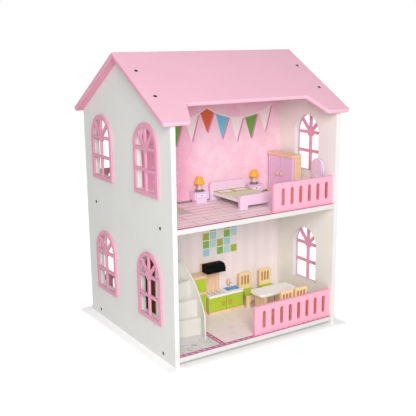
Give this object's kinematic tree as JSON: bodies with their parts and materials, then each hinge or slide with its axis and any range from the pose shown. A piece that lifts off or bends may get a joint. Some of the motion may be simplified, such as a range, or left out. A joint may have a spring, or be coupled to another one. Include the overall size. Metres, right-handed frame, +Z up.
{
  "type": "wooden dollhouse",
  "caption": "Two-storey pink and white wooden dollhouse with arched windows, a winding stair and painted wooden furniture",
  "frame": {"origin": "middle of the house on the surface that it stands on", "axes": "+X to the right along the open front with the stair on the left, +Y from the front to the rear, +Z up"},
  "size_m": [0.525, 0.4778, 0.7],
  "materials": {
    "dark_screw_steel": "satin black",
    "bright_pin_steel": "drawn",
    "white_painted_board": "satin white paint on fibreboard",
    "printed_board": "printed paper on fibreboard with painted edges",
    "pale_pink_painted_board": "satin pink paint on fibreboard",
    "rose_pink_painted_board": "satin deeper pink paint on fibreboard",
    "cream_painted_board": "satin cream paint on fibreboard",
    "lilac_painted_wood": "satin lilac paint",
    "orange_painted_wood": "satin orange paint with a pale stem",
    "lime_painted_wood": "satin lime paint",
    "ivory_painted_wood": "satin ivory paint",
    "black_painted_wood": "satin black paint",
    "beech": "clear-varnished beech"
  },
  "bodies": {
    "house": {"base_panel": "printed_board", "front_lower_railing": "pale_pink_painted_board", "front_roof_panel": "pale_pink_painted_board", "front_upper_railing": "pale_pink_painted_board", "left_front_lower_window": "rose_pink_painted_board", "left_front_upper_window": "rose_pink_painted_board", "left_rear_lower_window": "rose_pink_painted_board", "left_rear_upper_window": "rose_pink_painted_board", "left_wall": "white_painted_board", "lower_partition": "printed_board", "rear_lower_railing": "pale_pink_painted_board", "rear_roof_panel": "pale_pink_painted_board", "rear_upper_railing": "pale_pink_painted_board", "right_front_lower_window": "rose_pink_painted_board", "right_front_upper_window": "rose_pink_painted_board", "right_rear_lower_window": "rose_pink_painted_board", "right_rear_upper_window": "rose_pink_painted_board", "right_wall": "white_painted_board", "roof_screws": "dark_screw_steel", "stair_curved_side": "cream_painted_board", "stair_steps": "cream_painted_board", "upper_floor": "printed_board", "upper_partition": "printed_board", "wall_screws": "dark_screw_steel"},
    "bed": {"bed_headboard": "lilac_painted_wood", "bed_footboard": "lilac_painted_wood", "bed_deck": "lilac_painted_wood"},
    "left_bedside": {"left_nightstand": "lilac_painted_wood"},
    "left_lamp_body": {"left_lamp": "orange_painted_wood"},
    "right_bedside": {"right_nightstand": "lilac_painted_wood"},
    "right_lamp_body": {"right_lamp": "orange_painted_wood"},
    "wardrobe": {"wardrobe_body": "beech", "wardrobe_hinge_pins": "bright_pin_steel"},
    "wardrobe_rear_leaf": {"wardrobe_rear_door": "lilac_painted_wood", "wardrobe_rear_knob": "beech"},
    "wardrobe_front_leaf": {"wardrobe_front_door": "lilac_painted_wood", "wardrobe_front_knob": "beech"},
    "vanity": {"vanity_table": "lilac_painted_wood", "vanity_mirror": "lilac_painted_wood"},
    "kitchen_counter": {"counter_body": "beech", "counter_worktop": "ivory_painted_wood", "counter_hinge_pins": "bright_pin_steel", "counter_tap": "beech", "cooker_backboard": "beech", "cooker_hood": "black_painted_wood"},
    "counter_left_leaf": {"counter_left_door": "lime_painted_wood", "counter_left_knob": "beech"},
    "counter_right_leaf": {"counter_right_door": "lime_painted_wood", "counter_right_knob": "beech"},
    "cupboard": {"cupboard_body": "beech", "cupboard_hinge_pin": "bright_pin_steel"},
    "cupboard_upper_leaf": {"cupboard_upper_door": "lime_painted_wood"},
    "cupboard_lower_leaf": {"cupboard_lower_door": "lime_painted_wood"},
    "dining_table": {"table_top": "ivory_painted_wood", "table_legs": "beech"},
    "rear_left_seat": {"rear_left_chair": "beech"},
    "rear_right_seat": {"rear_right_chair": "beech"},
    "front_left_seat": {"front_left_chair": "beech"},
    "front_right_seat": {"front_right_chair": "beech"}
  },
  "joints": [
    {"name": "bed_lift", "type": "slide", "parent": "house", "child": "bed", "axis": [0, 0, 1], "range_m": [0, 0.05]},
    {"name": "left_nightstand_lift", "type": "slide", "parent": "house", "child": "left_bedside", "axis": [0, 0, 1], "range_m": [0, 0.05]},
    {"name": "left_lamp_lift", "type": "slide", "parent": "left_bedside", "child": "left_lamp_body", "axis": [0, 0, 1], "range_m": [0, 0.05]},
    {"name": "right_nightstand_lift", "type": "slide", "parent": "house", "child": "right_bedside", "axis": [0, 0, 1], "range_m": [0, 0.05]},
    {"name": "right_lamp_lift", "type": "slide", "parent": "right_bedside", "child": "right_lamp_body", "axis": [0, 0, 1], "range_m": [0, 0.05]},
    {"name": "wardrobe_lift", "type": "slide", "parent": "house", "child": "wardrobe", "axis": [0, 0, 1], "range_m": [0, 0.05]},
    {"name": "wardrobe_rear_hinge", "type": "hinge", "parent": "wardrobe", "child": "wardrobe_rear_leaf", "pos_m": [0.192, -0.0095, 0.3777], "axis": [0, 0, -1], "range_deg": [0, 55]},
    {"name": "wardrobe_front_hinge", "type": "hinge", "parent": "wardrobe", "child": "wardrobe_front_leaf", "pos_m": [0.192, -0.1075, 0.3777], "axis": [0, 0, 1], "range_deg": [0, 100]},
    {"name": "vanity_lift", "type": "slide", "parent": "house", "child": "vanity", "axis": [0, 0, 1], "range_m": [0, 0.05]},
    {"name": "counter_lift", "type": "slide", "parent": "house", "child": "kitchen_counter", "axis": [0, 0, 1], "range_m": [0, 0.05]},
    {"name": "counter_left_hinge", "type": "hinge", "parent": "kitchen_counter", "child": "counter_left_leaf", "pos_m": [-0.027, -0.0415, 0.0475], "axis": [0, 0, -1], "range_deg": [0, 90]},
    {"name": "counter_right_hinge", "type": "hinge", "parent": "kitchen_counter", "child": "counter_right_leaf", "pos_m": [0.077, -0.0415, 0.0475], "axis": [0, 0, 1], "range_deg": [0, 90]},
    {"name": "cupboard_lift", "type": "slide", "parent": "house", "child": "cupboard", "axis": [0, 0, 1], "range_m": [0, 0.05]},
    {"name": "cupboard_upper_hinge", "type": "hinge", "parent": "cupboard", "child": "cupboard_upper_leaf", "pos_m": [-0.081, -0.0375, 0.1067], "axis": [0, 0, -1], "range_deg": [0, 95]},
    {"name": "cupboard_lower_hinge", "type": "hinge", "parent": "cupboard", "child": "cupboard_lower_leaf", "pos_m": [-0.081, -0.0375, 0.0565], "axis": [0, 0, -1], "range_deg": [0, 95]},
    {"name": "table_lift", "type": "slide", "parent": "house", "child": "dining_table", "axis": [0, 0, 1], "range_m": [0, 0.05]},
    {"name": "rear_left_chair_lift", "type": "slide", "parent": "house", "child": "rear_left_seat", "axis": [0, 0, 1], "range_m": [0, 0.05]},
    {"name": "front_left_chair_lift", "type": "slide", "parent": "house", "child": "front_left_seat", "axis": [0, 0, 1], "range_m": [0, 0.05]},
    {"name": "rear_right_chair_lift", "type": "slide", "parent": "house", "child": "rear_right_seat", "axis": [0, 0, 1], "range_m": [0, 0.05]},
    {"name": "front_right_chair_lift", "type": "slide", "parent": "house", "child": "front_right_seat", "axis": [0, 0, 1], "range_m": [0, 0.05]}
  ]
}
